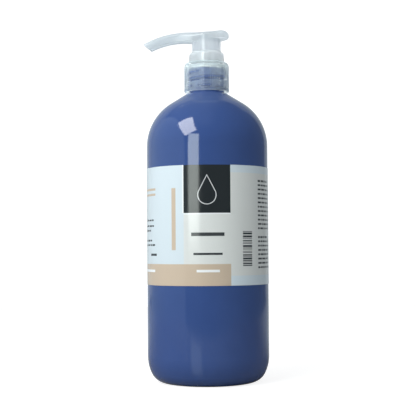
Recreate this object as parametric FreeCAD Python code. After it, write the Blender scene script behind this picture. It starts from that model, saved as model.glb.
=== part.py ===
import FreeCAD, Part
import math
import os

V = FreeCAD.Vector
Z = V(0, 0, 1)
os.makedirs("parts", exist_ok=True)

# Sizes in millimetres. +Z is up, the bottle stands on z = 0 with its axis on z.
# The spout points to -X and the front of the label faces -Y.

# Bottle
body_d = 86.0
body_wall = 0.7
heel_in = 13.0
foot_width = 4.5
pushup = 5.0
heel_z = 18.5
heel_r = 27.5
shoulder_z = 166.9
shoulder_r = 36.0
shoulder_slope = math.radians(32)

# Neck finish with a single right-hand thread
neck_d = 25.3
neck_wall = 1.85
neck_land = 1.25
neck_h = 17.37
neck_part = 2.6
thread_depth = 1.1
thread_pitch = 4.233
thread_turns = 1.5
thread_start_deg = -290.0
thread_z = 8.37
thread_root_w = 2.4
thread_crest_w = 1.1
bead_z = 4.57
bead_root_h = 1.8
bead_crest_h = 0.6
bead_count = 6
bead_gap_deg = 16.0

# Label
label_z = 69.1
label_h = 81.8
label_t = 0.15
label_glue = 0.05
label_open = 6.0

# Gasket
gasket_over = 0.55
gasket_t = 1.2

# Collar
collar_wall = 1.85
collar_foot = 2.2
collar_top_t = 2.2
collar_round = 3.0
collar_plain = 2.0
collar_lead = 0.7
rib_count = 72
rib_depth = 0.3
nut_turns = 1.2
nut_start_deg = -295.0
nut_root_w = 1.5
nut_crest_w = 0.8

# Pump cylinder
flange_over = 0.65
flange_t = 1.3
cylinder_wall = 1.1
plug_depth = 7.4
plug_ledge = 0.9
plug_wall = 1.5
ball_d = 5.0
ball_lift = 1.5
ball_room = 1.0
ball_land = 0.07
ball_head = 2.0
port_h = 2.0
socket_depth = 15.0
socket_wall = 1.4
socket_lip = 1.0
socket_taper = 1.2
foot_taper = 2.8
foot_drop = 0.6
bore_taper = 1.4
bore_drop = 0.5
chamber_taper = 1.6

# Dip tube
tube_d = 6.0
tube_wall = 0.9
tube_floor_gap = 3.0
tube_cut_deg = 40.0

# Chaplet
chaplet_wall = 2.15
chaplet_top_wall = 1.9
sleeve_wall = 1.05
chaplet_h = 7.75
chaplet_chamfer_h = 1.75
chaplet_web = 1.3
guide_wall = 1.8
guide_h = 1.3
mouth_edge = 0.1

# Stem and the pin at its foot
stem_d = 8.0
stem_wall = 1.5
stem_ring = 2.0
stem_ring_t = 1.4
stem_ring_taper = 1.6
stem_port = 2.2
pin_flange_t = 2.3
pin_shank = 7.0
pin_blade = 2.4
pin_pilot = 3.4

# Stem seal
seal_h = 3.6
seal_lip_z = 0.6
seal_lip_h = 0.6
seal_lead = 0.5
seal_cup = 0.9

# Piston
piston_h = 7.0
piston_lip = 1.6
piston_taper = 0.8
piston_groove = 1.2
piston_slip = 1.2

# Ball retainer
retainer_t = 1.2
retainer_hub_h = 1.6
retainer_slot = 2.0
retainer_prong_d = 2.6

# Return spring, as it is with the head pressed down
spring_wire = 0.9
spring_turns = 6
spring_h = 9.6

# Travel of the head from pressed down to fully up
stroke = 12.0

# Press head
skirt_d = 20.5
skirt_wall = 1.0
skirt_show = 7.1
tail_d = 18.6
tail_reach = 16.1
tail_lift = 2.8
pad_dish = 0.4
pad_dish_x = -4.5
pad_dish_r = 76.0
pad_end = 9.8
tail_r = 10.0
deck_in = 4.65
spout_w = 8.5
spout_h = 6.75
spout_reach = 45.0
spout_flare = 60.0
spout_root = 14.0
spout_top_r = 60.0
spout_under_r = 58.0
spout_cut_deg = 39.0
head_round = 3.0
head_round_low = 0.6
channel_d = 4.2
stem_socket_wall = 1.25
socket_rise = 1.3
tail_turn = math.radians(50)
curve_sweep = math.radians(36)

# Clearances
slide_gap = 0.2
turn_gap = 0.15
seat_gap = 0.1
press_gap = 0.1
flank_gap = 0.3
thread_room = 0.35
nut_room = 0.45
neck_room = 1.2
flange_room = 1.3
spring_room = 1.75
pilot_room = 0.65

# Small edge breaks, and how far an added rib is sunk into its wall
edge = 0.4
sunk = 0.2

# Radii that follow from the sizes above
body_r = body_d / 2
neck_r = neck_d / 2
neck_bore_r = neck_r - neck_wall
crest_r = neck_r + thread_depth
collar_in_r = crest_r + thread_room
collar_r = collar_in_r + collar_wall
nut_crest_r = neck_r + nut_room
shell_r = neck_bore_r - neck_room
bore_r = shell_r - cylinder_wall
plug_r = bore_r - press_gap
plug_in_r = plug_r - plug_wall
cylinder_r = plug_r - plug_ledge
gasket_r = neck_r + gasket_over
flange_r = neck_r + flange_over
skirt_r = skirt_d / 2
guard_r = skirt_r + slide_gap
deck_x = deck_in - skirt_r
sleeve_r = guard_r + sleeve_wall
collar_hole_r = sleeve_r + slide_gap
collar_edge_r = min(collar_round, collar_r - collar_hole_r - edge)
stem_r = stem_d / 2
stem_bore_r = stem_r - stem_wall
guide_r = stem_r + slide_gap
spring_r = cylinder_r - spring_room
pilot_r = spring_r - spring_wire - pilot_room
pin_r = cylinder_r - flange_room
chamber_r = ball_d / 2 + ball_room
port_r = ball_d / 2 * math.sqrt(0.5) - ball_land
tube_r = tube_d / 2
crown_x = pad_dish_x - math.sqrt(pad_dish * (2 * (spout_top_r + pad_dish_r) - pad_dish))

# Heights that follow
cone_r = body_r - shoulder_r + shoulder_r * math.sin(shoulder_slope)
cone_z = shoulder_z + shoulder_r * math.cos(shoulder_slope)


def cone_height(r):
    """Height of the shoulder's straight upper part at a radius."""
    return cone_z + (cone_r - r) * math.tan(shoulder_slope)


neck_z = cone_height(neck_r + neck_land)
neck_top = neck_z + neck_h
part_z = neck_z - neck_part
flange_z = neck_top + gasket_t
flange_top = flange_z + flange_t
collar_z = cone_height(collar_r) + collar_foot
collar_top = flange_top + collar_top_t
chaplet_z = collar_top + seat_gap
chaplet_top = chaplet_z + chaplet_h
web_top = flange_top + chaplet_web
skirt_z = web_top + flank_gap
spout_z = chaplet_top + skirt_show
spout_top = spout_z + spout_h
tail_z = spout_z + tail_lift
stem_top = spout_z - slide_gap
plug_z = flange_top - plug_depth
seal_z = flange_top - seal_h

# With the head up and the piston slipped, the piston stops just under the plug.
piston_z = plug_z - seat_gap - piston_slip - stroke - piston_h
pin_z = piston_z - seat_gap
ring_z = piston_z + piston_h + piston_slip + seat_gap
spring_top = pin_z - pin_flange_t - seat_gap
spring_z = spring_top - spring_h
retainer_z = spring_z - seat_gap - retainer_t

# The ball rests just off its 45 degree seat.
ball_up = (ball_d / 2 + seat_gap / 2) * math.sqrt(2) - port_r
prong_z = retainer_z - ball_head
ball_z = prong_z - 2 * seat_gap - ball_lift - ball_d / 2
port_top = ball_z - ball_up
tube_top = port_top - port_h
socket_z = tube_top - socket_depth


def face_of(edges):
    return Part.Face(Part.Wire(Part.__sortEdges__(edges)))


def line(a, b):
    return Part.makeLine(a, b)


def arc(a, b, c):
    return Part.Arc(a, b, c).toShape()


def rz(r, z):
    return V(r, 0, z)


def flat(*points):
    """Flat face in the half plane y = 0 from (radius, height) points."""
    loop = [rz(r, z) for r, z in points]
    loop.append(loop[0])
    return Part.Face(Part.makePolygon(loop))


def turned(*points):
    """Solid of revolution about the axis."""
    return flat(*points).revolve(V(0, 0, 0), Z, 360)


def tube(r_out, r_in, z_low, z_high):
    return turned((r_in, z_low), (r_out, z_low), (r_out, z_high), (r_in, z_high))


def rod(r, z_low, z_high):
    return Part.makeCylinder(r, z_high - z_low, V(0, 0, z_low))


def helix_rib(turns, start_deg, z_mid, r_root, r_crest, w_root, w_crest):
    """Thread ridge whose middle is at z_mid where it starts."""
    path = Part.makeHelix(thread_pitch, thread_pitch * turns, r_root)
    outline = flat(
        (r_root, -w_root / 2), (r_crest, -w_crest / 2), (r_crest, w_crest / 2), (r_root, w_root / 2)
    ).OuterWire
    ridge = Part.Wire(path.Edges).makePipeShell([outline], True, True)
    ridge.translate(V(0, 0, z_mid))
    ridge.rotate(V(0, 0, 0), Z, start_deg)
    return ridge


def one_solid(shape):
    """The shape's single solid, with joined faces merged."""
    shape = shape.removeSplitter()
    return shape.Solids[0]


def bottle_outline(inset):
    """Edges of the bottle's half section, drawn in by inset, from the axis up to the neck."""
    r_foot = body_r - heel_in
    r_hole = r_foot - foot_width
    dome_r = (r_hole**2 + pushup**2) / (2 * pushup)
    dome_z = pushup - dome_r
    heel_x = body_r - heel_r
    run = r_foot - heel_x
    foot_r = (heel_r**2 - run**2 - heel_z**2) / (2 * (heel_r - heel_z))
    lean = math.atan2(heel_z - foot_r, run)

    def dome(z):
        return math.sqrt((dome_r + inset) ** 2 - (z - dome_z) ** 2)

    def on(cx, cz, radius, angle):
        return rz(cx + radius * math.cos(angle), cz + radius * math.sin(angle))

    axis = rz(0, pushup + inset)
    mid_z = (inset + pushup + inset) / 2
    ring_in = rz(dome(inset), inset)
    ring_out = rz(r_foot, inset)
    foot_end = on(r_foot, foot_r, foot_r - inset, -lean)
    foot_mid = on(r_foot, foot_r, foot_r - inset, -(lean + math.pi / 2) / 2)
    heel_mid = on(heel_x, heel_z, heel_r - inset, -lean / 2)
    heel_end = rz(body_r - inset, heel_z)
    wall_end = rz(body_r - inset, shoulder_z)
    turn = math.pi / 2 - shoulder_slope
    shoulder_x = body_r - shoulder_r
    shoulder_mid = on(shoulder_x, shoulder_z, shoulder_r - inset, turn / 2)
    shoulder_end = on(shoulder_x, shoulder_z, shoulder_r - inset, turn)
    return [
        arc(axis, rz(dome(mid_z), mid_z), ring_in),
        line(ring_in, ring_out),
        arc(ring_out, foot_mid, foot_end),
        arc(foot_end, heel_mid, heel_end),
        line(heel_end, wall_end),
        arc(wall_end, shoulder_mid, shoulder_end),
    ], shoulder_end, axis


def moulding():
    """The whole bottle, which is one hollow moulding with its neck."""
    outer, high, low = bottle_outline(0.0)
    outer += [
        line(high, rz(neck_r + neck_land, neck_z)),
        line(rz(neck_r + neck_land, neck_z), rz(neck_r, neck_z)),
        line(rz(neck_r, neck_z), rz(neck_r, neck_top - edge)),
        line(rz(neck_r, neck_top - edge), rz(neck_r - edge, neck_top)),
        line(rz(neck_r - edge, neck_top), rz(0, neck_top)),
        line(rz(0, neck_top), low),
    ]
    solid = face_of(outer).revolve(V(0, 0, 0), Z, 360)
    root_r = neck_r - sunk
    ridge = helix_rib(
        thread_turns, thread_start_deg, neck_z + thread_z,
        root_r, crest_r, thread_root_w, thread_crest_w,
    )
    solid = solid.fuse([ridge] + neck_beads(root_r))

    inner, high, low = bottle_outline(body_wall)
    above = neck_top + 1
    inner += [
        line(high, rz(neck_bore_r, neck_z)),
        line(rz(neck_bore_r, neck_z), rz(neck_bore_r, above)),
        line(rz(neck_bore_r, above), rz(0, above)),
        line(rz(0, above), low),
    ]
    hollow = face_of(inner).revolve(V(0, 0, 0), Z, 360)
    return solid.cut(hollow)


def make_bottle():
    return one_solid(moulding().common(rod(body_d, -1, part_z)))


def make_neck():
    return one_solid(moulding().common(rod(body_d, part_z, neck_top + 1)))


def neck_beads(root_r):
    """Broken bead round the neck, below the thread."""
    z = neck_z + bead_z
    step = 360.0 / bead_count
    section = flat(
        (root_r, z - bead_root_h / 2), (crest_r, z - bead_crest_h / 2),
        (crest_r, z + bead_crest_h / 2), (root_r, z + bead_root_h / 2),
    )
    beads = []
    for k in range(bead_count):
        bead = section.revolve(V(0, 0, 0), Z, step - bead_gap_deg)
        bead.rotate(V(0, 0, 0), Z, k * step)
        beads.append(bead)
    return beads


def make_label():
    r_in = body_r + label_glue
    r_out = r_in + label_t
    top = label_z + label_h
    gap = math.degrees(label_open / r_in)
    section = flat((r_in, label_z), (r_out, label_z), (r_out, top), (r_in, top))
    sheet = section.revolve(V(0, 0, 0), Z, 360 - gap)
    sheet.rotate(V(0, 0, 0), Z, 90 + gap / 2)
    return sheet


def make_gasket():
    return tube(gasket_r, shell_r + slide_gap, neck_top, flange_z)


def collar_groove():
    """One V groove that runs up the skirt and over the rounded edge."""
    depth = collar_r - rib_depth
    out = collar_r + edge
    half = math.pi * out / rib_count
    low = collar_z + collar_plain
    bend = collar_top - collar_edge_r
    turn_r = collar_edge_r - rib_depth
    x = collar_r - collar_edge_r
    c = turn_r * math.cos(math.pi / 4)
    knee = rz(depth, bend)
    path = Part.Wire(
        [
            line(rz(depth, low), knee),
            arc(knee, rz(x + c, bend + c), rz(x, bend + turn_r)),
        ]
    )
    corner = V(depth, 0, low)
    outline = Part.makePolygon([corner, V(out, -half, low), V(out, half, low), corner])
    return path.makePipeShell([outline], True, True)


def make_collar():
    bend = collar_top - collar_edge_r
    x = collar_r - collar_edge_r
    c = collar_edge_r * math.cos(math.pi / 4)
    lead_r = collar_in_r + collar_lead
    edges = [
        line(rz(collar_hole_r, flange_top), rz(collar_in_r, flange_top)),
        line(rz(collar_in_r, flange_top), rz(collar_in_r, collar_z + collar_lead)),
        line(rz(collar_in_r, collar_z + collar_lead), rz(lead_r, collar_z)),
        line(rz(lead_r, collar_z), rz(collar_r - edge, collar_z)),
        line(rz(collar_r - edge, collar_z), rz(collar_r, collar_z + edge)),
        line(rz(collar_r, collar_z + edge), rz(collar_r, bend)),
        arc(rz(collar_r, bend), rz(x + c, bend + c), rz(x, collar_top)),
        line(rz(x, collar_top), rz(collar_hole_r, collar_top)),
        line(rz(collar_hole_r, collar_top), rz(collar_hole_r, flange_top)),
    ]
    solid = face_of(edges).revolve(V(0, 0, 0), Z, 360)
    groove = collar_groove()
    grooves = []
    for k in range(rib_count):
        copy = groove.copy()
        copy.rotate(V(0, 0, 0), Z, k * 360.0 / rib_count)
        grooves.append(copy)
    solid = solid.cut(grooves)

    # The nut's ridge runs just under the neck's ridge all the way.
    half_neck = (thread_root_w + thread_crest_w) / 4
    half_nut = (nut_root_w + nut_crest_w) / 4
    ahead = (nut_start_deg - thread_start_deg) / 360.0 * thread_pitch
    z_mid = neck_z + thread_z + ahead - half_neck - half_nut - flank_gap
    ridge = helix_rib(
        nut_turns, nut_start_deg, z_mid,
        collar_in_r + sunk, nut_crest_r, nut_root_w, nut_crest_w,
    )
    return one_solid(solid.fuse(ridge))


def make_housing():
    outer_r = cylinder_r + cylinder_wall
    hold_r = tube_r + turn_gap
    socket_r = hold_r + socket_wall
    foot_r = chamber_r + cylinder_wall
    step = plug_z - bore_drop
    outside = step - 2 * bore_drop
    foot_top = retainer_z - foot_drop
    solid = turned(
        (0, socket_z), (socket_r, socket_z), (socket_r, tube_top + socket_lip),
        (foot_r, tube_top + socket_lip + socket_taper), (foot_r, foot_top - foot_taper),
        (outer_r, foot_top), (outer_r, outside - bore_taper), (shell_r, outside), (shell_r, flange_z),
        (flange_r, flange_z), (flange_r, flange_top), (0, flange_top),
    )
    hollow = turned(
        (0, socket_z - 1), (hold_r, socket_z - 1), (hold_r, tube_top), (port_r, tube_top),
        (port_r, port_top), (chamber_r, port_top + chamber_r - port_r),
        (chamber_r, retainer_z - chamber_taper), (chamber_r + chamber_taper, retainer_z),
        (cylinder_r, retainer_z), (cylinder_r, step), (bore_r, step), (bore_r, flange_top + 1),
        (0, flange_top + 1),
    )
    return one_solid(solid.cut(hollow))


def make_ball():
    return Part.makeSphere(ball_d / 2, V(0, 0, ball_z))


def make_retainer():
    """Disc with a hub for the spring, a prong over the ball and three slots for the flow."""
    top = retainer_z + retainer_t
    prong_r = retainer_prong_d / 2
    solid = rod(cylinder_r - slide_gap, retainer_z, top)
    solid = solid.fuse(rod(pilot_r - slide_gap, retainer_z, top + retainer_hub_h))
    solid = solid.fuse(rod(prong_r, prong_z, top))
    for k in range(3):
        slot = Part.makeBox(
            chamber_r - prong_r, retainer_slot, 3 * retainer_t + retainer_hub_h,
            V(prong_r + edge, -retainer_slot / 2, retainer_z - retainer_t),
        )
        slot.rotate(V(0, 0, 0), Z, 120.0 * k)
        solid = solid.cut(slot)
    return one_solid(solid)


def make_dip_tube():
    low = pushup + body_wall + tube_floor_gap
    solid = tube(tube_r, tube_r - tube_wall, low, tube_top - seat_gap)
    size = 4 * tube_d
    wedge = Part.makeBox(size, size, size, V(-size / 2, -size / 2, -size))
    wedge.rotate(V(0, 0, 0), V(0, 1, 0), tube_cut_deg)
    wedge.translate(V(0, 0, low + tube_r * math.tan(math.radians(tube_cut_deg))))
    return one_solid(solid.cut(wedge))


def make_chaplet():
    ring_r = guard_r + chaplet_wall
    top_r = guard_r + chaplet_top_wall
    boss_r = guide_r + guide_wall
    return turned(
        (guide_r, flange_top), (plug_in_r, flange_top), (plug_in_r, plug_z), (plug_r, plug_z),
        (plug_r, flange_top), (sleeve_r, flange_top), (sleeve_r, chaplet_z), (ring_r, chaplet_z),
        (top_r, chaplet_top - chaplet_chamfer_h), (guard_r + mouth_edge, chaplet_top),
        (guard_r, chaplet_top - 2 * mouth_edge), (guard_r, web_top), (boss_r, web_top),
        (boss_r, web_top + guide_h), (guide_r, web_top + guide_h),
    )


def make_stem_seal():
    hole = stem_r + turn_gap
    outer = plug_in_r - press_gap
    top = flange_top - seat_gap
    lip_z = seal_z + seal_lip_z
    return turned(
        (hole + seal_cup, top), (hole + edge, lip_z + 2 * seal_lip_h), (hole, lip_z + seal_lip_h),
        (hole, lip_z), (hole + seal_lead, seal_z), (outer, seal_z), (outer, top),
    )


def make_stem():
    foot = pin_z + seat_gap
    ring_r = stem_r + stem_ring
    ring_top = ring_z + stem_ring_t
    solid = turned(
        (stem_bore_r, foot), (stem_r, foot), (stem_r, ring_z), (ring_r, ring_z), (ring_r, ring_top),
        (stem_r, ring_top + stem_ring_taper), (stem_r, stem_top - edge), (stem_r - edge, stem_top),
        (stem_bore_r, stem_top),
    )
    z = foot + stem_port / 2 + edge
    port = Part.makeCylinder(stem_port / 2, 2 * stem_d, V(0, -stem_d, z), V(0, 1, 0))
    return one_solid(solid.cut(port))


def make_pin():
    low = pin_z - pin_flange_t
    foot = low - pin_pilot
    shank_r = stem_bore_r - turn_gap
    solid = turned(
        (0, foot), (pilot_r - edge, foot), (pilot_r, foot + edge), (pilot_r, low), (pin_r, low),
        (pin_r, pin_z), (0, pin_z),
    )
    shank = rod(shank_r, pin_z - sunk, pin_z + pin_shank)
    blade = Part.makeBox(4 * shank_r, pin_blade, 2 * pin_shank, V(-2 * shank_r, -pin_blade / 2, low))
    return one_solid(solid.fuse(shank.common(blade)))


def make_piston():
    hole = stem_r + turn_gap
    lip = cylinder_r - turn_gap
    waist = cylinder_r - piston_groove
    top = piston_z + piston_h
    return turned(
        (hole, piston_z), (lip - edge, piston_z), (lip, piston_z + edge),
        (lip, piston_z + piston_lip), (waist, piston_z + piston_lip + piston_taper),
        (waist, top - piston_lip - piston_taper), (lip, top - piston_lip), (lip, top - edge),
        (lip - edge, top), (hole, top),
    )


def spring_path(r, rise):
    """Arc pairs of a quarter turn each that run smoothly up the helix."""
    total = spring_turns * 2 * math.pi
    low = spring_z + spring_wire / 2

    def point(t):
        return V(r * math.cos(t), r * math.sin(t), low + rise * t / total)

    def along(t):
        return V(-r * math.sin(t), r * math.cos(t), rise / total).normalize()

    def bend(a, heading, b):
        chord = b - a
        half = chord.Length / 2
        chord.normalize()
        side = heading - chord * heading.dot(chord)
        swing = math.atan2(side.Length, heading.dot(chord))
        side.normalize()
        return arc(a, (a + b) * 0.5 + side * (half * math.tan(swing / 2)), b)

    edges = []
    quarter = math.pi / 2
    for k in range(4 * spring_turns):
        a = point(k * quarter)
        b = point((k + 1) * quarter)
        ta = along(k * quarter)
        tb = along((k + 1) * quarter)
        span = b - a
        both = ta + tb
        q = 2 * (1 - ta.dot(tb))
        reach = (math.sqrt(span.dot(both) ** 2 + q * span.dot(span)) - span.dot(both)) / q
        joint = (a + b + (ta - tb) * reach) * 0.5
        heading = (joint - a - ta * reach).normalize()
        edges.append(bend(a, ta, joint))
        edges.append(bend(joint, heading, b))
    return Part.Wire(edges)


def least_gap(path):
    """Least clear distance between turns, measured on points of the wire's middle line."""
    points = path.discretize(40 * spring_turns)
    apart = 20
    near = min(
        points[i].distanceToPoint(points[j])
        for i in range(len(points))
        for j in range(i + apart, len(points))
    )
    return near - spring_wire


def make_spring():
    r = spring_r - spring_wire / 2
    rise = spring_h - spring_wire
    path = spring_path(r, rise)
    print("spring: least gap to itself", round(least_gap(path), 3))
    heading = V(0, r, rise / (spring_turns * 2 * math.pi))
    ring = Part.makeCircle(spring_wire / 2, V(r, 0, spring_z + spring_wire / 2), heading)
    return path.makePipeShell([Part.Wire(ring)], True, False).Solids[0]


def head_plan():
    """Pad, tail and flared spout seen from above, as a tall prism."""
    half = spout_w / 2
    end_r = tail_d / 2
    end_x = tail_reach - end_r
    far = spout_reach + 10
    reach = skirt_r + spout_flare
    flare_y = half + spout_flare
    flare_x = -math.sqrt(reach**2 - flare_y**2)
    touch = V(flare_x * skirt_r / reach, flare_y * skirt_r / reach, 0)
    turn = math.atan2(touch.x - flare_x, flare_y - touch.y) / 2
    flare_mid = V(flare_x + spout_flare * math.sin(turn), flare_y - spout_flare * math.cos(turn), 0)
    lean = math.asin((skirt_r - end_r) / end_x)
    pad_out = V(skirt_r * math.sin(lean), skirt_r * math.cos(lean), 0)
    tail_out = V(end_x + end_r * math.sin(lean), end_r * math.cos(lean), 0)
    top_mid = V(0, skirt_r, 0)

    def flip(p):
        return V(p.x, -p.y, p.z)

    def side(m):
        return [
            line(m(V(-far, half, 0)), m(V(flare_x, half, 0))),
            arc(m(V(flare_x, half, 0)), m(flare_mid), m(touch)),
            arc(m(touch), m(top_mid), m(pad_out)),
            line(m(pad_out), m(tail_out)),
        ]

    edges = side(lambda p: p) + side(flip)
    edges.append(arc(tail_out, V(tail_reach, 0, 0), flip(tail_out)))
    edges.append(line(V(-far, half, 0), V(-far, -half, 0)))
    plan = face_of(edges)
    plan.translate(V(0, 0, spout_z - 40))
    return plan.extrude(V(0, 0, 80))


def head_side():
    """The head seen from the side, as a wide slab."""

    def on(x, z, r, angle):
        return V(x + r * math.sin(angle), 0, z + r * math.cos(angle))

    # The top runs over the spout, through the shallow finger dish and over the tail.
    both = spout_top_r + pad_dish_r
    crown_z = spout_top - spout_top_r
    dish_z = spout_top - pad_dish + pad_dish_r
    roll = math.asin((pad_dish_x - crown_x) / both)
    climb = math.asin((pad_end - pad_dish_x) / pad_dish_r)
    tip = on(crown_x, crown_z, spout_top_r, -curve_sweep)
    tip_mid = on(crown_x, crown_z, spout_top_r, (roll - curve_sweep) / 2)
    join = on(crown_x, crown_z, spout_top_r, roll)
    dish_mid = on(pad_dish_x, dish_z, -pad_dish_r, (roll - climb) / 2)
    dish_end = on(pad_dish_x, dish_z, -pad_dish_r, -climb)
    turn_x = dish_end.x + tail_r * math.sin(climb)
    turn_z = dish_end.z - tail_r * math.cos(climb)
    tail_mid = on(turn_x, turn_z, tail_r, (tail_turn - climb) / 2)
    tail = on(turn_x, turn_z, tail_r, tail_turn)
    x0 = -spout_root
    low_z = spout_z - spout_under_r
    heel = on(x0, low_z, spout_under_r, -curve_sweep)
    root = V(x0, 0, spout_z)

    # Under the pad the underside rises in a straight slope to the tail.
    deck = V(deck_x, 0, spout_z)
    under = V(tail.x, 0, spout_z + tail_lift * (tail.x - deck_x) / (tail_reach - deck_x))
    edges = [
        arc(tip, tip_mid, join),
        arc(join, dish_mid, dish_end),
        arc(dish_end, tail_mid, tail),
        line(tail, under),
        line(under, deck),
        line(deck, root),
        arc(root, on(x0, low_z, spout_under_r, -curve_sweep / 2), heel),
        line(heel, tip),
    ]
    slab = face_of(edges)
    slab.translate(V(0, -40, 0))
    return slab.extrude(V(0, 80, 0))


def rim_edges(body, upward):
    """Edges where an upright wall meets the top or the underside."""
    found = []
    for edge in body.Edges:
        box = edge.BoundBox
        if box.XMin < -spout_reach - 4 and box.XLength < 1e-6:
            continue
        near = [f for f in body.Faces if any(e.isSame(edge) for e in f.Edges)]
        if len(near) != 2:
            continue
        middle = edge.valueAt((edge.FirstParameter + edge.LastParameter) / 2)
        tilts = []
        for f in near:
            u, v = f.Surface.parameter(middle)
            tilts.append(f.normalAt(u, v).z)
        walls = [t for t in tilts if abs(t) < 0.02]
        decks = [t for t in tilts if (t > 0.3 if upward else t < -0.3)]
        if len(walls) == 1 and len(decks) == 1:
            found.append(edge)
    return found


def make_actuator():
    body = head_plan().common(head_side()).Solids[0]
    body = body.makeFillet(head_round, rim_edges(body, True))
    body = body.makeFillet(head_round_low, rim_edges(body, False))

    # The outlet is cut off at a slant, facing down and out.
    drop = spout_top_r - math.sqrt(spout_top_r**2 - (spout_reach + crown_x) ** 2)
    size = 2 * spout_reach
    knife = Part.makeBox(size, size, size, V(-size / 2, -size / 2, -size))
    knife.rotate(V(0, 0, 0), V(0, 1, 0), spout_cut_deg)
    knife.translate(V(-spout_reach, 0, spout_top - drop))
    body = body.cut(knife)

    skirt = tube(skirt_r, skirt_r - skirt_wall, skirt_z, tail_z)
    hold_r = stem_r + turn_gap
    socket = rod(hold_r + stem_socket_wall, web_top + guide_h + socket_rise, tail_z)
    body = body.fuse([skirt, socket])

    # The stem's socket and the way out through the spout
    middle = spout_z + spout_h / 2
    bend = (spout_top_r + spout_under_r) / 2
    way_r = channel_d / 2
    start = V(-spout_root, 0, middle)
    ring = Part.Face(Part.Wire(Part.makeCircle(way_r, start, V(1, 0, 0))))
    curved = ring.revolve(V(-spout_root, 0, middle - bend), V(0, -1, 0), 40)
    straight = Part.makeCylinder(way_r, spout_root, start, V(1, 0, 0))
    end = Part.makeSphere(way_r, V(0, 0, middle))
    bore = rod(hold_r, skirt_z, stem_top + slide_gap)
    rise = rod(way_r, stem_top, middle)
    return one_solid(body.cut([curved, straight, end, bore, rise]))


nodes = {
    "bottle": make_bottle,
    "neck": make_neck,
    "label": make_label,
    "gasket": make_gasket,
    "collar": make_collar,
    "housing": make_housing,
    "chaplet": make_chaplet,
    "stem_seal": make_stem_seal,
    "stem": make_stem,
    "piston_seat": make_pin,
    "piston": make_piston,
    "spring": make_spring,
    "ball_retainer": make_retainer,
    "inlet_ball": make_ball,
    "dip_tube": make_dip_tube,
    "actuator": make_actuator,
}

for name, make in nodes.items():
    shape = make()
    shape.exportStep("parts/" + name + ".step")
    box = shape.BoundBox
    print(
        name, shape.ShapeType, shape.isValid(), round(shape.Volume, 2),
        "z", round(box.ZMin, 2), round(box.ZMax, 2), "x", round(box.XMin, 2), round(box.XMax, 2),
    )
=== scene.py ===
import math
import random

import bmesh
import bpy
from mathutils import Matrix, Vector
from mathutils.geometry import delaunay_2d_cdt


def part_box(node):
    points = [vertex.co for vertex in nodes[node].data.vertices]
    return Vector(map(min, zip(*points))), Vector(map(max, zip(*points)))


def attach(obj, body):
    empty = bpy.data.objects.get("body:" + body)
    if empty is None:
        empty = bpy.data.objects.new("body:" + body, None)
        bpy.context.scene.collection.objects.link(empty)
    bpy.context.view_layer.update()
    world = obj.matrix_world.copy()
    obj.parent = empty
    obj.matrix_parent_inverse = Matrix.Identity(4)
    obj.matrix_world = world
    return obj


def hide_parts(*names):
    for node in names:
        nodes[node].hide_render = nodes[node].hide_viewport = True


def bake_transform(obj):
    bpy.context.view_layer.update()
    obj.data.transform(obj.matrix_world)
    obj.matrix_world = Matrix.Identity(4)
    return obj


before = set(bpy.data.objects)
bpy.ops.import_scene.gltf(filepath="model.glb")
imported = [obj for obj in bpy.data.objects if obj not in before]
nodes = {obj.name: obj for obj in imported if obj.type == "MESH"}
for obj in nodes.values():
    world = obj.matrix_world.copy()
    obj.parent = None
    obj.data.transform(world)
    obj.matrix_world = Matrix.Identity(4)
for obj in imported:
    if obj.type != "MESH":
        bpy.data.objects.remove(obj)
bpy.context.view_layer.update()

scene = bpy.context.scene
MM = 0.001
WHITE = (1, 1, 1, 1)
ROOM_TINT = (0.78, 0.93, 1.0, 1)


# ---------------------------------------------------------------- camera

CAMERA_PLACE = (0.00032, -0.753, 0.0953)
CAMERA_LENS = 91.3
CAMERA_TIP = 2.117
CAMERA_ROLL = -0.4


def make_camera():
    """Stands at the photograph's place: straight in front, a little below the middle, tipped up."""
    data = bpy.data.cameras.new("camera")
    data.sensor_width = 36.0
    data.lens = CAMERA_LENS
    data.clip_start = 0.01
    data.clip_end = 20.0
    cam = bpy.data.objects.new("camera", data)
    tip = Matrix.Rotation(math.radians(90 + CAMERA_TIP), 4, "X")
    roll = Matrix.Rotation(math.radians(CAMERA_ROLL), 4, "Z")
    cam.matrix_world = Matrix.Translation(CAMERA_PLACE) @ tip @ roll
    scene.collection.objects.link(cam)
    scene.camera = cam


# ---------------------------------------------------------------- studio

AIM = Vector((0, 0, 0.16))
KEY_SIDE = Vector((-0.539, -0.574, 0.617))
KEY_SHAPE = {"width": 0.46, "height": 0.66, "spin": 38}
WINDOW_TINT = (0.92, 1.0, 0.95)
SHEET_COLOUR = 0.35
FLOOR_GLOW = 0.84
BACKDROP_GLOW = 0.9
BACK = 0.95


def heading(azimuth, elevation):
    """Direction from the object; azimuth 0 is towards the camera, plus is to the right."""
    a, e = math.radians(azimuth), math.radians(elevation)
    return Vector((math.sin(a) * math.cos(e), -math.cos(a) * math.cos(e), math.sin(e)))


def panel(name, toward, distance, radiance, width, height, spin=0, tint=(1, 1, 1)):
    """Soft rectangular lamp that faces AIM from that direction."""
    data = bpy.data.lights.new(name, "AREA")
    data.shape = "RECTANGLE"
    data.size = width
    data.size_y = height
    data.color = tint
    data.energy = radiance * math.pi * width * height
    lamp = bpy.data.objects.new(name, data)
    place = Matrix.Translation(AIM + toward * distance)
    turn = toward.to_track_quat("Z", "Y").to_matrix().to_4x4()
    lamp.matrix_world = place @ turn @ Matrix.Rotation(math.radians(spin), 4, "Z")
    lamp.visible_camera = False
    scene.collection.objects.link(lamp)
    return lamp


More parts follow.
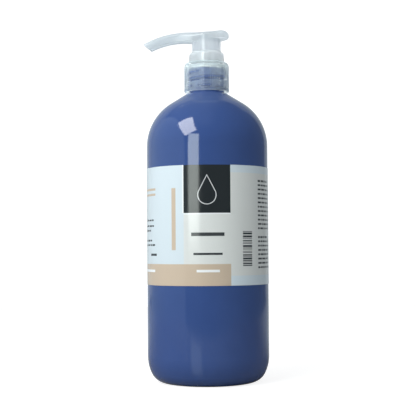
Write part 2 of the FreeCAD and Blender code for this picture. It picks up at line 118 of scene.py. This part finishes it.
def make_lamps():
    panel("key", KEY_SIDE, distance=1.05, radiance=8.5, **KEY_SHAPE)
    gleam = panel("gleam", KEY_SIDE, distance=1.06, radiance=1.6, **KEY_SHAPE)
    gleam.visible_diffuse = False
    panel(
        "window", heading(-25.5, 9.8), distance=1.05, radiance=6.6, width=0.37, height=0.45,
        tint=WINDOW_TINT,
    )
    for side, azimuth in (("left", -95), ("right", 100)):
        fill = panel(
            side + "_fill", heading(azimuth, 15), distance=1.2, radiance=0.45, width=1.5, height=1.3
        )
        fill.visible_glossy = False


def math_node(tree, operation, a, b):
    """Output of a Math node; a is a socket, b a socket or a number."""
    node = tree.nodes.new("ShaderNodeMath")
    node.operation = operation
    tree.links.new(a, node.inputs[0])
    if isinstance(b, (int, float)):
        node.inputs[1].default_value = b
    else:
        tree.links.new(b, node.inputs[1])
    return node.outputs[0]


def product(tree, first, *others):
    for other in others:
        first = math_node(tree, "MULTIPLY", first, other)
    return first


def background_rays(tree):
    """A socket that is 1 for rays that show the background, and one that is 1 for reflections."""
    path = tree.nodes.new("ShaderNodeLightPath").outputs
    seen = math_node(tree, "MAXIMUM", path["Is Camera Ray"], path["Is Transmission Ray"])
    return seen, path["Is Glossy Ray"]


def map_range(tree, value, from_low, from_high, low, high):
    """Output of a Map Range node that takes value from one span to another."""
    node = tree.nodes.new("ShaderNodeMapRange")
    node.inputs["From Min"].default_value = from_low
    node.inputs["From Max"].default_value = from_high
    node.inputs["To Min"].default_value = low
    node.inputs["To Max"].default_value = high
    tree.links.new(value, node.inputs["Value"])
    return node.outputs["Result"]


def room_glow(tree):
    """What reflections see of the room: a pale wall on the left, a pale ceiling, and less elsewhere."""
    axes = tree.nodes.new("ShaderNodeSeparateXYZ")
    way = tree.nodes.new("ShaderNodeTexCoord").outputs["Generated"]
    tree.links.new(way, axes.inputs[0])
    x, z = axes.outputs["X"], axes.outputs["Z"]
    wall = map_range(tree, z, -0.08, 0.08, 0.35, 0.7)
    left = map_range(tree, x, -0.69, -0.67, 1.0, 0.0)
    right = map_range(tree, x, 0.1, 0.5, 0.16, 0.24)
    ceiling = product(
        tree, map_range(tree, z, 0.55, 0.8, 0.0, 0.3), map_range(tree, x, 0.0, 0.3, 1.0, 0.0)
    )
    sides = math_node(tree, "ADD", product(tree, wall, left), right)
    return math_node(tree, "ADD", sides, ceiling)


def make_world():
    world = bpy.data.worlds.new("studio")
    scene.world = world
    world.use_nodes = True
    tree = world.node_tree
    tree.nodes.clear()
    out = tree.nodes.new("ShaderNodeOutputWorld")
    ambient = tree.nodes.new("ShaderNodeBackground")
    ambient.inputs["Color"].default_value = (0.93, 0.97, 1.0, 1)
    ambient.inputs["Strength"].default_value = 0.42
    white = tree.nodes.new("ShaderNodeBackground")
    white.inputs["Color"].default_value = WHITE
    room = tree.nodes.new("ShaderNodeBackground")
    room.inputs["Color"].default_value = ROOM_TINT
    tree.links.new(room_glow(tree), room.inputs["Strength"])
    seen, reflected = background_rays(tree)
    glossy = tree.nodes.new("ShaderNodeMixShader")
    tree.links.new(reflected, glossy.inputs[0])
    tree.links.new(ambient.outputs[0], glossy.inputs[1])
    tree.links.new(room.outputs[0], glossy.inputs[2])
    mix = tree.nodes.new("ShaderNodeMixShader")
    tree.links.new(seen, mix.inputs[0])
    tree.links.new(glossy.outputs[0], mix.inputs[1])
    tree.links.new(white.outputs[0], mix.inputs[2])
    tree.links.new(mix.outputs[0], out.inputs["Surface"])


def stage_sheet(name, profile, sides, glow, painted_reflection):
    """Pale sheet of that side profile; glow is what it adds where it is seen.

    painted_reflection(tree, axes) is a socket with the painted glow it adds in reflections only.
    """
    verts = [(x, y, z) for y, z in profile for x in sides]
    faces = [(2 * k, 2 * k + 1, 2 * k + 3, 2 * k + 2) for k in range(len(profile) - 1)]
    mesh = bpy.data.meshes.new(name)
    mesh.from_pydata(verts, [], faces)
    mesh.shade_smooth()
    sheet = bpy.data.objects.new(name, mesh)
    scene.collection.objects.link(sheet)
    mat = bpy.data.materials.new(name)
    mat.use_nodes = True
    tree = mat.node_tree
    tree.nodes.clear()
    out = tree.nodes.new("ShaderNodeOutputMaterial")
    pale = tree.nodes.new("ShaderNodeBsdfDiffuse")
    pale.inputs["Color"].default_value = (SHEET_COLOUR, SHEET_COLOUR, SHEET_COLOUR, 1)
    light = tree.nodes.new("ShaderNodeEmission")
    both = tree.nodes.new("ShaderNodeAddShader")
    seen, path_reflected = background_rays(tree)
    seen = math_node(tree, "MULTIPLY", seen, glow)
    axes = tree.nodes.new("ShaderNodeSeparateXYZ")
    tree.links.new(tree.nodes.new("ShaderNodeTexCoord").outputs["Object"], axes.inputs[0])
    # Painted reflection: a glow on the sheet that only glossy rays see.
    reflected = math_node(tree, "MULTIPLY", path_reflected, painted_reflection(tree, axes.outputs))
    tree.links.new(math_node(tree, "ADD", seen, reflected), light.inputs["Strength"])
    tint = tree.nodes.new("ShaderNodeMix")
    tint.data_type = "RGBA"
    tint.inputs[6].default_value = WHITE
    tint.inputs[7].default_value = ROOM_TINT
    tree.links.new(path_reflected, tint.inputs[0])
    tree.links.new(tint.outputs[2], light.inputs["Color"])
    tree.links.new(pale.outputs[0], both.inputs[0])
    tree.links.new(light.outputs[0], both.inputs[1])
    tree.links.new(both.outputs[0], out.inputs["Surface"])
    mesh.materials.append(mat)


def floor_painted_reflection(tree, axes):
    """Painted reflection on the floor: a glow that only reflections see, pale behind the bottle, with a
    painted streak of the window's light in front.
    """
    behind = map_range(tree, axes["Y"], 0.05, 0.35, 0.0, 0.35)
    bearing = math_node(tree, "DIVIDE", axes["X"], math_node(tree, "ADD", axes["Y"], 0.0223))
    # Painted streak of the window's light on the floor, seen only in reflections.
    streak = product(
        tree,
        map_range(tree, bearing, 0.2, 0.26, 0.0, 1.0),
        map_range(tree, bearing, 0.6, 0.68, 1.0, 0.0),
        map_range(tree, axes["Y"], -0.37, -0.35, 0.0, 0.7),
        map_range(tree, axes["Y"], -0.055, -0.045, 1.0, 0.0),
    )
    return math_node(tree, "ADD", behind, streak)


# Painted reflection on the backdrop: a glow that only reflections see, brighter on the left.
def backdrop_painted_reflection(tree, axes):
    return map_range(tree, axes["X"], -0.35, -0.05, 0.45, 0.32)


def make_stage():
    stage_sheet("floor", [(-0.45, 0.0), (BACK, 0.0)], (-0.7, 0.7), FLOOR_GLOW, floor_painted_reflection)
    curve = [(BACK, 0.0), (BACK, 0.9), (0.8, 1.3)]
    stage_sheet("backdrop", curve, (-1.3, 0.85), BACKDROP_GLOW, backdrop_painted_reflection)


# ---------------------------------------------------------------- materials

BOTTLE_BLUE = (0.034, 0.071, 0.222)
CAP = {"colour": (0.825, 0.905, 0.93), "milky": 0.82, "clear": 0.5, "rough": 0.1, "lustre": 0.085}
BLADE = {"colour": (0.758, 0.803, 0.832), "milky": 0.75, "clear": 0.1, "rough": 0.08, "lustre": 0.014}
# Painted shade: the crown of the head gets a darker copy of the plastic's colour.
SHADED_CROWN_COLOUR = (0.68, 0.725, 0.755)
SKIRT = {"colour": (0.905, 0.922, 0.94), "milky": 0.96, "lustre": 0.042}
STEP = {"colour": (0.957, 0.976, 0.982), "milky": 0.97, "clear": 0.1, "rough": 0.08, "lustre": 0.055}
PUMP = {"colour": (0.84, 0.87, 0.88), "milky": 0.4, "clear": 0.1, "rough": 0.3, "lustre": 0.02}
SOFT = {"colour": (0.80, 0.80, 0.79), "milky": 0.2, "clear": 0.0, "rough": 0.45, "lustre": 0.01}
TUBE = {"colour": (0.86, 0.89, 0.90), "milky": 0.4, "clear": 0.35, "rough": 0.25, "lustre": 0.03}
FILM_INKS = {
    "pale": (0.60, 0.685, 0.74),
    "white": (0.80, 0.83, 0.85),
    "grey": (0.66, 0.685, 0.675),
    "tan": (0.54, 0.44, 0.34),
    "black": (0.016, 0.020, 0.023),
    "line": (0.60, 0.62, 0.64),
    "ink": (0.045, 0.05, 0.055),
}
FILM_ROUGH = 0.13
PLASTIC_GRAIN = (0.975, 1.015)
SKIRT_TOP = (240.5 * MM, 243.5 * MM)
SKIRT_EDGE = (10.6 * MM, 13 * MM)
COLLAR_MIDDLE = 15 * MM
TOUCHING = 1.2 * MM


class Material:
    """A Principled material whose colour, roughness and relief come from noise in object space."""

    def __init__(self, name, **constants):
        self.mat = bpy.data.materials.new(name)
        self.mat.use_nodes = True
        self.tree = self.mat.node_tree
        self.bsdf = self.tree.nodes["Principled BSDF"]
        self.coord = self.tree.nodes.new("ShaderNodeTexCoord").outputs["Object"]
        for socket, value in constants.items():
            self.bsdf.inputs[socket.replace("_", " ")].default_value = value

    def noise(self, scale, detail=2.0, rough=0.5, stretch=None):
        node = self.tree.nodes.new("ShaderNodeTexNoise")
        node.inputs["Scale"].default_value = scale
        node.inputs["Detail"].default_value = detail
        node.inputs["Roughness"].default_value = rough
        coord = self.coord
        if stretch:
            mapping = self.tree.nodes.new("ShaderNodeMapping")
            mapping.inputs["Scale"].default_value = stretch
            self.tree.links.new(coord, mapping.inputs["Vector"])
            coord = mapping.outputs["Vector"]
        self.tree.links.new(coord, node.inputs["Vector"])
        return node.outputs["Fac"]

    def colour(self, dark, light, fac):
        """Base colour between two, each a colour or a socket."""
        mix = self.tree.nodes.new("ShaderNodeMix")
        mix.data_type = "RGBA"
        for slot, value in ((6, dark), (7, light)):
            if isinstance(value, tuple):
                mix.inputs[slot].default_value = (*value, 1)
            else:
                self.tree.links.new(value, mix.inputs[slot])
        self.tree.links.new(fac, mix.inputs[0])
        self.tree.links.new(mix.outputs[2], self.bsdf.inputs["Base Color"])
        return mix.outputs[2]

    def height(self):
        """The height in the object's own frame."""
        axes = self.tree.nodes.new("ShaderNodeSeparateXYZ")
        self.tree.links.new(self.coord, axes.inputs[0])
        return axes.outputs["Z"]

    def span(self, fac, from_low, from_high, low, high):
        return map_range(self.tree, fac, from_low, from_high, low, high)

    def roughness(self, low, high, fac):
        self.tree.links.new(self.span(fac, 0.3, 0.7, low, high), self.bsdf.inputs["Roughness"])

    def relief(self, fac, strength, depth):
        bump = self.tree.nodes.new("ShaderNodeBump")
        bump.inputs["Strength"].default_value = strength
        bump.inputs["Distance"].default_value = depth
        self.tree.links.new(fac, bump.inputs["Height"])
        self.tree.links.new(bump.outputs["Normal"], self.bsdf.inputs["Normal"])

    def blend_in(self, shader, share):
        """Mixes another shader over what the surface shows so far."""
        out = self.tree.nodes["Material Output"].inputs["Surface"]
        mix = self.tree.nodes.new("ShaderNodeMixShader")
        mix.inputs[0].default_value = share
        self.tree.links.new(out.links[0].from_socket, mix.inputs[1])
        self.tree.links.new(shader.outputs[0], mix.inputs[2])
        self.tree.links.new(mix.outputs[0], out)
        return mix.inputs[0]

    def radius(self):
        """The distance from the object's upright axis."""
        level = self.tree.nodes.new("ShaderNodeVectorMath")
        level.operation = "MULTIPLY"
        level.inputs[1].default_value = (1, 1, 0)
        self.tree.links.new(self.coord, level.inputs[0])
        reach = self.tree.nodes.new("ShaderNodeVectorMath")
        reach.operation = "LENGTH"
        self.tree.links.new(level.outputs["Vector"], reach.inputs[0])
        return reach.outputs["Value"]

    def room_near(self, distance, behind=False):
        """A socket that is low where other faces are close, on the side of the viewer or behind."""
        node = self.tree.nodes.new("ShaderNodeAmbientOcclusion")
        node.samples = 8
        node.inside = behind
        node.inputs["Distance"].default_value = distance
        return node.outputs["AO"]

    def either(self, choice, if_zero, if_one, target=None):
        """A socket with one of two values, each a socket or a number, linked to target."""
        mix = self.tree.nodes.new("ShaderNodeMix")
        self.tree.links.new(choice, mix.inputs["Factor"])
        for name, value in (("A", if_zero), ("B", if_one)):
            if isinstance(value, (int, float)):
                mix.inputs[name].default_value = value
            else:
                self.tree.links.new(value, mix.inputs[name])
        if target:
            self.tree.links.new(mix.outputs["Result"], target)
        return mix.outputs["Result"]


def shade(colour, k):
    return tuple(min(1.0, c * k) for c in colour)


def grainy(m, colour, dark, light, fac):
    """Base colour that the noise fac takes a little down and up."""
    return m.colour(shade(colour, dark), shade(colour, light), fac)


def gloss_blue():
    m = Material("bottle_blue", IOR=1.5)
    grainy(m, BOTTLE_BLUE, 0.94, 1.06, m.noise(55, 4, 0.6))
    m.roughness(0.055, 0.10, m.noise(240, 3))
    m.relief(m.noise(70, 2, 0.4, (1, 1, 0.5)), 0.12, 0.4 * MM)
    return m.mat


def natural(name, colour, milky, clear, rough, lustre):
    """Unpigmented polypropylene: milky passes light on, lustre mirrors, clear lets sight through."""
    m = Material(name, IOR=1.49)
    m.tint = grainy(m, colour, *PLASTIC_GRAIN, m.noise(160, 3, 0.6))
    m.roughness(rough * 0.85, rough * 1.2, m.noise(420, 3))
    m.relief(m.noise(700, 2), 0.05, 0.05 * MM)
    m.milk = m.tree.nodes.new("ShaderNodeBsdfTranslucent")
    m.tree.links.new(m.tint, m.milk.inputs["Color"])
    m.milky = m.blend_in(m.milk, milky)
    skin = m.tree.nodes.new("ShaderNodeBsdfGlossy")
    skin.inputs["Color"].default_value = WHITE
    skin.inputs["Roughness"].default_value = rough
    m.lustre = m.blend_in(skin, lustre)
    m.clear = m.blend_in(m.tree.nodes.new("ShaderNodeBsdfTransparent"), clear)
    return m


def natural_head(name):
    """The press head: a thin skirt that passes more light on, the thick crown over it, coloured darker
    as painted shade, and the blade.
    """
    m = natural(name, **BLADE)
    over = m.span(m.height(), *SKIRT_TOP, 0.0, 1.0)
    out = m.span(m.radius(), *SKIRT_EDGE, 0.0, 1.0)
    grain = m.noise(160, 3, 0.6)
    # The crown's darker colour is painted shade.
    skirt, crown = (grainy(m, part, *PLASTIC_GRAIN, grain) for part in (SKIRT["colour"], SHADED_CROWN_COLOUR))
    tint = m.colour(m.colour(skirt, crown, over), m.tint, out)
    m.tree.links.new(tint, m.milk.inputs["Color"])
    thick = math_node(m.tree, "MAXIMUM", over, out)
    m.either(thick, SKIRT["milky"], BLADE["milky"], m.milky)
    m.either(thick, SKIRT["lustre"], BLADE["lustre"], m.lustre)
    return m


def natural_wall(name):
    """The collar's wall: what touches its inner face shows through it, and its ribs blur the view."""
    m = natural(name, **CAP)
    outside = math_node(m.tree, "GREATER_THAN", m.radius(), COLLAR_MIDDLE)
    edge_on = m.tree.nodes.new("ShaderNodeLayerWeight").outputs["Facing"]
    apart = m.span(m.room_near(TOUCHING, behind=True), 0.1, 0.9, 0.0, 1.0)
    inner = m.either(apart, 1.0, m.span(edge_on, 0.0, 0.22, 0.64, 0.08))
    ribs = m.span(m.room_near(TOUCHING), 0.6, 1.0, 0.7, 0.9)
    outer = product(m.tree, ribs, m.span(edge_on, 0.36, 0.56, 1.0, 0.03))
    sight = m.either(outside, inner, outer)
    shadow = m.tree.nodes.new("ShaderNodeLightPath").outputs["Is Shadow Ray"]
    passing = m.span(shadow, 0.0, 1.0, 1.0, 0.9)
    m.tree.links.new(product(m.tree, sight, passing), m.clear)
    m.either(outside, 0.0, CAP["lustre"], m.lustre)
    return m


def film(name, colour):
    """Printed label film: fine print grain under a semi-gloss laminate."""
    m = Material(name, IOR=1.5)
    grainy(m, colour, 0.965, 1.025, m.noise(1500, 2, 0.6))
    m.roughness(FILM_ROUGH * 0.85, FILM_ROUGH * 1.2, m.noise(300, 3))
    m.relief(m.noise(900, 3), 0.08, 0.05 * MM)
    return m.mat


def foam():
    m = Material("gasket_foam", IOR=1.45)
    grain = m.noise(2600, 4, 0.7)
    m.colour((0.62, 0.62, 0.6), (0.8, 0.8, 0.78), grain)
    m.roughness(0.65, 0.85, grain)
    m.relief(grain, 0.5, 0.2 * MM)
    return m.mat


def steel():
    m = Material("spring_steel", Metallic=1.0)
    drawn = m.noise(900, 3, 0.6, (1, 1, 6))
    m.colour((0.50, 0.50, 0.51), (0.68, 0.68, 0.69), drawn)
    m.roughness(0.2, 0.34, drawn)
    return m.mat


def ball_glass():
    m = Material("ball_glass", IOR=1.52, Transmission_Weight=0.9)
    m.colour((0.78, 0.86, 0.88), (0.84, 0.9, 0.92), m.noise(500, 2))
    m.roughness(0.03, 0.07, m.noise(900, 2))
    return m.mat


def dress(name, mat):
    slots = nodes[name].data.materials
    slots.clear()
    slots.append(mat)


# ---------------------------------------------------------------- label

LABEL_OUT = 43.2
LABEL_IN = 43.06
LABEL_LOW = 69.1
LABEL_HIGH = 150.9
LABEL_HALF = 176.0
RADIAN = math.pi / 180
LABEL_STEPS = 176
BAND_TOP = 83.8
SQUARE_LOW = 118.3
SQUARE = (-22.1, 21.1)
DROP = {"centre_a": -0.5, "low": 124.0, "high": 144.5, "width": 13.0}
DROP_LINE = 0.55
PRINT_RIGHT = (53.5, 104.0)
PRINT_LEFT = (-110.0, -56.0)
PRINT_PITCH = 2.98
WORD_GAP = 1.0


def rect(a0, a1, z0, z1):
    """Corners in degrees round the bottle and millimetres of height."""
    return [(a0, z0), (a1, z0), (a1, z1), (a0, z1)]


def drop_outline(centre_a, low, high, width, inset):
    """Outline of a plain oil drop, drawn in by inset millimetres."""
    r = width / 2 - inset
    cz = low + width / 2
    tip = high - 1.9 * inset
    reach = tip - cz
    open_angle = math.acos(r / reach)
    points = [(0.0, tip)]
    steps = 40
    for k in range(steps + 1):
        share = k / steps
        a = math.pi / 2 + open_angle + (2 * math.pi - 2 * open_angle) * share
        points.append((r * math.cos(a), cz + r * math.sin(a)))
    return [(centre_a + x / LABEL_OUT / RADIAN, z) for x, z in points]


def text_lines(rng, a0, a1, tops, height, bold_first):
    """Plain bars that stand for lines of small print."""
    bars = []
    for k, z in enumerate(tops):
        bold = bold_first and k == 0
        a = a0
        end = a0 + (a1 - a0) * (0.42 if bold else rng.uniform(0.78, 1.0))
        while a < end - WORD_GAP:
            word = min(rng.uniform(2.4, 7.5), end - a)
            h = height * (1.15 if bold else 1.0)
            bars.append(rect(a, a + word, z - h, z))
            a += word + WORD_GAP
    return bars


def bar_code(rng, a0, a1, low, high):
    """Bars of chance widths up the label, which stand for a printed code."""
    bars = []
    z = low
    while z < high - 0.6:
        bar = rng.choice((0.45, 0.45, 0.7, 0.95, 1.3))
        bars.append(rect(a0, a1, z, min(z + bar, high)))
        z += bar + rng.choice((0.4, 0.45, 0.7, 0.95))
    return bars


def label_regions():
    """Print areas in painting order: (outline, ink)."""
    rng = random.Random(7)
    left, right = SQUARE
    areas = [
        (rect(-LABEL_HALF, left, BAND_TOP, LABEL_HIGH), "pale"),
        (rect(-23.3, left, SQUARE_LOW, LABEL_HIGH), "white"),
        (rect(left, right, BAND_TOP, SQUARE_LOW), "grey"),
        (rect(left, right, 117.4, SQUARE_LOW), "white"),
        (rect(left, right, SQUARE_LOW, LABEL_HIGH), "black"),
        (rect(right, LABEL_HALF, LABEL_LOW, LABEL_HIGH), "pale"),
        (rect(right, 122.0, 75.8, 145.8), "grey"),
        (rect(-LABEL_HALF, 21.3, LABEL_LOW, BAND_TOP), "tan"),
        (rect(-34.6, -30.2, 93.3, 135.5), "tan"),
        (rect(-15.0, 15.2, 102.7, 105.1), "ink"),
        (rect(-13.0, 13.4, 89.9, 91.4), "ink"),
        (rect(-10.2, 10.7, 78.3, 80.0), "white"),
        (drop_outline(**DROP, inset=0.0), "line"),
        (drop_outline(**DROP, inset=DROP_LINE), "black"),
    ]
    print_bars = bar_code(rng, 33.6, 44.6, 82.2, 106.2)
    for top, count in ((141.4, 12), (102.6, 8)):
        tops = [top - PRINT_PITCH * k for k in range(count)]
        print_bars += text_lines(rng, *PRINT_RIGHT, tops, 1.25, True)
    areas += [(bar, "ink") for bar in print_bars]
    areas += [(rect(-108.0, -56.5, z - 1.6, z), "tan") for z in (136.2, 132.6)]
    tops = [114.7, 110.7, 107.5, 100.6, 97.5]
    areas += [(bar, "ink") for bar in text_lines(rng, *PRINT_LEFT, tops, 1.2, False)]
    areas.append((rect(-66.0, -54.5, 89.4, 91.0), "ink"))
    areas.append((rect(-104.0, -57.5, 78.2, 79.9), "white"))
    return areas


def label_layout():
    """Triangles of the flat label with the ink of each."""
    verts, edges, faces, inks = [], [], [], []

    def add(loop, ink):
        first = len(verts)
        verts.extend(Vector((a, z)) for a, z in loop)
        faces.append([first + k for k in range(len(loop))])
        inks.append(ink)

    add(rect(-LABEL_HALF, LABEL_HALF, LABEL_LOW, LABEL_HIGH), "pale")
    for loop, ink in label_regions():
        add(loop, ink)
    for k in range(1, LABEL_STEPS):
        a = -LABEL_HALF + 2 * LABEL_HALF * k / LABEL_STEPS
        first = len(verts)
        verts.append(Vector((a, LABEL_LOW)))
        verts.append(Vector((a, LABEL_HIGH)))
        edges.append((first, first + 1))
    points, _, tris, _, _, owners = delaunay_2d_cdt(verts, edges, faces, 1, 1e-4)
    return points, tris, [inks[max(own)] for own in owners]


def make_label(inks):
    """The film with its print as areas of one skin, its back and its rims."""
    points, tris, tri_inks = label_layout()
    order = list(inks)
    mesh = bpy.data.meshes.new("label_film")
    bm = bmesh.new()

    def place(p, r):
        a = p[0] * RADIAN
        return (r * math.sin(a) * MM, -r * math.cos(a) * MM, p[1] * MM)

    outer = [bm.verts.new(place(p, LABEL_OUT)) for p in points]
    inner = [bm.verts.new(place(p, LABEL_IN)) for p in points]
    for tri, ink in zip(tris, tri_inks):
        face = bm.faces.new([outer[k] for k in tri])
        face.material_index = order.index(ink)
        face.smooth = True
        back = bm.faces.new([inner[k] for k in reversed(tri)])
        back.material_index = order.index("white")
        back.smooth = True
    bm.edges.ensure_lookup_table()
    twin = dict(zip(outer, inner))
    rims = [e for e in bm.edges if len(e.link_faces) == 1 and all(v in twin for v in e.verts)]
    for e in rims:
        loop = e.link_loops[0]
        a, b = loop.vert, loop.link_loop_next.vert
        rim = bm.faces.new((b, a, twin[a], twin[b]))
        rim.material_index = order.index("white")
    for e in bm.edges:
        if any(not f.smooth for f in e.link_faces):
            e.smooth = False
    bm.normal_update()
    bm.to_mesh(mesh)
    bm.free()
    for ink in order:
        mesh.materials.append(inks[ink])
    label = bpy.data.objects.new("label_film", mesh)
    scene.collection.objects.link(label)
    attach(label, "bottle")
    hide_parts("label")


# ---------------------------------------------------------------- spring

SPRING_WIRE_R = 0.45 * MM
SPRING_OUT_R = 5.75 * MM
SPRING_TURNS = 6


def make_spring(mat):
    """Round wire wound as on the part, between the pump and the plunger."""
    low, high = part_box("spring")
    wire = SPRING_WIRE_R
    r = SPRING_OUT_R - wire
    z0, z1 = low.z + wire, high.z - wire
    turns, per_turn, around = SPRING_TURNS, 40, 12
    rise = (z1 - z0) / (2 * math.pi * turns)
    verts, faces = [], []
    count = turns * per_turn
    for k in range(count + 1):
        t = 2 * math.pi * k / per_turn
        out = Vector((math.cos(t), math.sin(t), 0))
        along = Vector((-r * math.sin(t), r * math.cos(t), rise)).normalized()
        up = along.cross(out).normalized()
        centre = out * r + Vector((0, 0, z0 + rise * t))
        for j in range(around):
            a = 2 * math.pi * j / around
            verts.append(centre + (out * math.cos(a) - up * math.sin(a)) * wire)
    for k in range(count):
        for j in range(around):
            a, b = k * around + j, k * around + (j + 1) % around
            faces.append((a, a + around, b + around, b))
    faces.append(tuple(range(around)))
    faces.append(tuple(count * around + j for j in reversed(range(around))))
    mesh = bpy.data.meshes.new("spring_coil")
    mesh.from_pydata(verts, [], faces)
    mesh.materials.append(mat)
    mesh.shade_smooth()
    coil = bpy.data.objects.new("spring_coil", mesh)
    scene.collection.objects.link(coil)
    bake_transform(coil)
    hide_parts("spring")


# ---------------------------------------------------------------- scene

def make_materials():
    blue = gloss_blue()
    dress("bottle", blue)
    dress("neck", blue)
    dress("collar", natural_wall("natural_cap").mat)
    dress("chaplet", natural("natural_step", **STEP).mat)
    dress("actuator", natural_head("natural_head").mat)
    pump = natural("natural_pump", **PUMP).mat
    for name in ("housing", "stem_seal", "stem", "piston_seat", "ball_retainer"):
        dress(name, pump)
    dress("piston", natural("soft_white", **SOFT).mat)
    dress("dip_tube", natural("tube", **TUBE).mat)
    dress("gasket", foam())
    dress("inlet_ball", ball_glass())


def main():
    scene.view_settings.view_transform = "Standard"
    make_camera()
    make_world()
    make_lamps()
    make_stage()
    make_materials()
    make_label({ink: film("film_" + ink, colour) for ink, colour in FILM_INKS.items()})
    make_spring(steel())


main()
